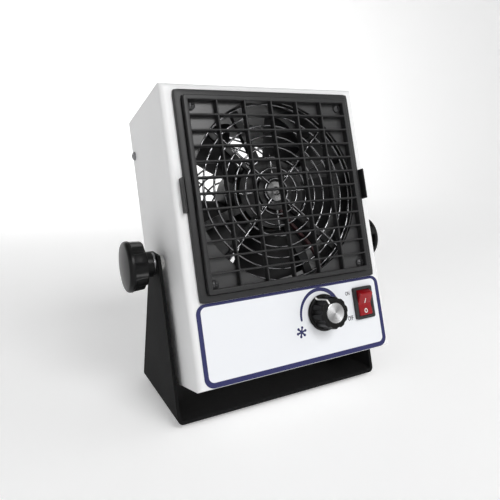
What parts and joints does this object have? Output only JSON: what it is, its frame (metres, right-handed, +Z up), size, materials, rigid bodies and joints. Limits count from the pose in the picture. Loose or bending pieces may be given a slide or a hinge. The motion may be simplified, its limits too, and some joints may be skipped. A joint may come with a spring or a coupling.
{
  "type": "ionizing air blower",
  "caption": "Benchtop ionizing air blower: fan, ion emitter and controls in a leaning white sheet-metal case, clamped in a black U-shaped stand.",
  "frame": {"origin": "on the table, midway between the stand's arms and directly under the tilt axis, which is within 2 mm of the middle of the whole object's base", "axes": "+Z up, -Y out of the front (the air blows towards -Y), +X to the right seen from the front"},
  "size_m": [0.189, 0.1267, 0.2038],
  "materials": {
    "white_paint": "fine powder coat, satin",
    "black_paint": "fine powder coat, satin black",
    "black_plastic": "moulded, satin",
    "knob_plastic": "moulded, semi-gloss",
    "chrome_wire": "bright nickel-chrome plating",
    "zinc": "bright zinc plating",
    "rubber": "matt",
    "label_film": "printed polyester film, white",
    "spun_aluminium": "spun, clear",
    "red_plastic": "polished",
    "brass": "plated",
    "white_nylon": "natural",
    "winding": "varnished copper winding",
    "board_green": "solder mask",
    "component": "moulded components",
    "lead_red": "silicone insulation",
    "potting": "potted block",
    "black_screw": "black plating, satin",
    "steel": "turned"
  },
  "bodies": {
    "stand": {"stand_bracket": "black_paint", "stand_feet": "rubber"},
    "case": {"case_shell": "white_paint", "rear_cover": "white_paint", "cover_screws": "chrome_wire", "grille_frame": "black_plastic", "frame_screws": "black_screw", "frame_nuts": "zinc", "front_guard": "chrome_wire", "emitter_frame": "black_plastic", "emitter_needles": "steel", "emitter_contact": "brass", "hv_lead": "lead_red", "fan_frame": "black_plastic", "fan_spider": "black_plastic", "fan_stator": "winding", "fan_bearings": "steel", "rear_guard": "chrome_wire", "rear_guard_screws": "zinc", "rear_guard_nuts": "zinc", "control_label": "label_film", "speed_control": "zinc", "speed_control_nut": "zinc", "switch_body": "black_plastic", "switch_terminals": "brass", "power_inlet": "black_plastic", "inlet_pins": "brass", "inlet_screws": "zinc", "hv_module": "potting", "hv_module_screws": "zinc", "control_board": "board_green", "board_parts": "component", "board_standoffs": "brass", "board_screws": "zinc", "pivot_nuts": "steel", "pivot_spacers": "white_nylon"},
    "outlet_cover": {"grille_cover": "black_plastic"},
    "fan_spinner": {"fan_rotor": "black_plastic", "fan_shaft": "steel"},
    "speed_dial": {"speed_knob": "knob_plastic", "speed_knob_cap": "spun_aluminium", "speed_control_shaft": "steel"},
    "power_rocker": {"switch_rocker": "red_plastic"},
    "left_washer_set": {"left_washer": "chrome_wire"},
    "left_clamp": {"left_stud": "zinc", "left_hand_knob": "knob_plastic"},
    "right_washer_set": {"right_washer": "chrome_wire"},
    "right_clamp": {"right_stud": "zinc", "right_hand_knob": "knob_plastic"}
  },
  "joints": [
    {"name": "head_tilt", "type": "hinge", "parent": "stand", "child": "case", "pos_m": [0, 0, 0.096], "axis": [1, 0, 0], "range_deg": [-75, 105]},
    {"name": "cover_pull", "type": "slide", "parent": "case", "child": "outlet_cover", "axis": [0, -0.9659, 0.2588], "range_m": [0, 0.02]},
    {"name": "fan_spin", "type": "hinge", "parent": "case", "child": "fan_spinner", "pos_m": [0, -0.00009, 0.13236], "axis": [0, -0.9659, 0.2588], "continuous": true},
    {"name": "speed_turn", "type": "hinge", "parent": "case", "child": "speed_dial", "pos_m": [0.01955, -0.05374, 0.0635], "axis": [0, -0.9659, 0.2588], "range_deg": [-180, 120]},
    {"name": "power_tip", "type": "hinge", "parent": "case", "child": "power_rocker", "pos_m": [0.0515, -0.0471, 0.06317], "axis": [-1, 0, 0], "range_deg": [0, 24]},
    {"name": "left_clamp_back_off", "type": "slide", "parent": "case", "child": "left_washer_set", "axis": [-1, 0, 0], "range_m": [0, 0.0015]},
    {"name": "left_clamp_turn", "type": "hinge", "parent": "left_washer_set", "child": "left_clamp", "pos_m": [-0.08, 0, 0.096], "axis": [-1, 0, 0], "range_deg": [0, 541]},
    {"name": "right_clamp_back_off", "type": "slide", "parent": "case", "child": "right_washer_set", "axis": [1, 0, 0], "range_m": [0, 0.0015]},
    {"name": "right_clamp_turn", "type": "hinge", "parent": "right_washer_set", "child": "right_clamp", "pos_m": [0.08, 0, 0.096], "axis": [1, 0, 0], "range_deg": [0, 541]}
  ],
  "couplings": [
    {"joint": "left_clamp_turn", "follows": "left_clamp_back_off", "rad_per_m": 6283.2},
    {"joint": "right_clamp_turn", "follows": "right_clamp_back_off", "rad_per_m": 6283.2}
  ]
}
